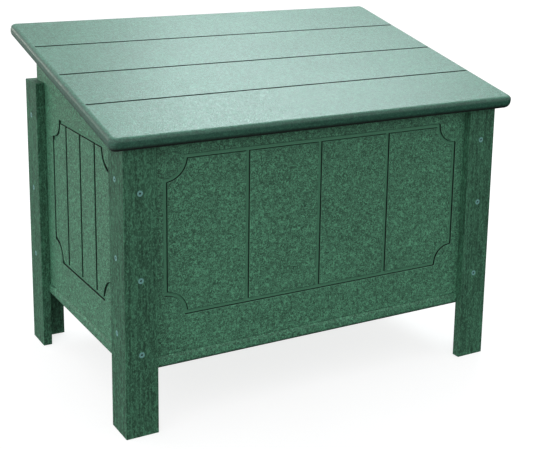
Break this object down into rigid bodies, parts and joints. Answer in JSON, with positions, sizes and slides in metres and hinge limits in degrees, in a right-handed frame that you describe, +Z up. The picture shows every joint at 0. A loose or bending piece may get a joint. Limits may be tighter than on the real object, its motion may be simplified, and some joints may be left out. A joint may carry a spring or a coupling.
{
  "type": "slope-lid storage bin",
  "caption": "Free-standing outdoor storage bin in recycled plastic sheet: L-section corner legs, routed panels and a sloping rounded-edge lid hinged along the back.",
  "frame": {"origin": "on the ground, under the centre of the bounding box", "axes": "+X to the right seen from the front, +Y towards the hinged back, +Z up"},
  "size_m": [1.219, 0.7814, 0.9588],
  "materials": {
    "sheet_plastic": "mottled recycled plastic sheet, satin pebble texture",
    "leg_plastic": "mottled recycled plastic lumber, satin",
    "lid_plastic": "mottled recycled plastic sheet, satin with a broad sheen",
    "coated_screw": "grey-green coated, slightly weathered",
    "stainless": "brushed",
    "rubber": "matt"
  },
  "bodies": {
    "bin": {"front_panel": "sheet_plastic", "left_side_panel": "sheet_plastic", "right_side_panel": "sheet_plastic", "back_panel": "sheet_plastic", "floor_panel": "sheet_plastic", "front_left_leg": "leg_plastic", "front_right_leg": "leg_plastic", "rear_left_leg": "leg_plastic", "rear_right_leg": "leg_plastic", "front_left_leg_screws": "coated_screw", "front_right_leg_screws": "coated_screw", "rear_left_leg_screws": "coated_screw", "rear_right_leg_screws": "coated_screw", "floor_screws": "stainless", "left_lid_stop": "sheet_plastic", "right_lid_stop": "sheet_plastic", "stop_screws": "stainless", "left_hinge_body_leaf": "stainless", "middle_hinge_body_leaf": "stainless", "right_hinge_body_leaf": "stainless", "left_hinge_pin": "stainless", "middle_hinge_pin": "stainless", "right_hinge_pin": "stainless", "hinge_body_screws": "stainless"},
    "lid": {"lid_panel": "lid_plastic", "left_lid_batten": "sheet_plastic", "middle_lid_batten": "sheet_plastic", "right_lid_batten": "sheet_plastic", "lid_batten_screws": "stainless", "lid_bumpers": "rubber", "left_hinge_lid_leaf": "stainless", "middle_hinge_lid_leaf": "stainless", "right_hinge_lid_leaf": "stainless", "hinge_lid_screws": "stainless"}
  },
  "joints": [
    {"name": "lid_hinge", "type": "hinge", "parent": "bin", "child": "lid", "pos_m": [0, 0.35838, 0.90916], "axis": [-1, 0, 0], "range_deg": [0, 109]}
  ]
}
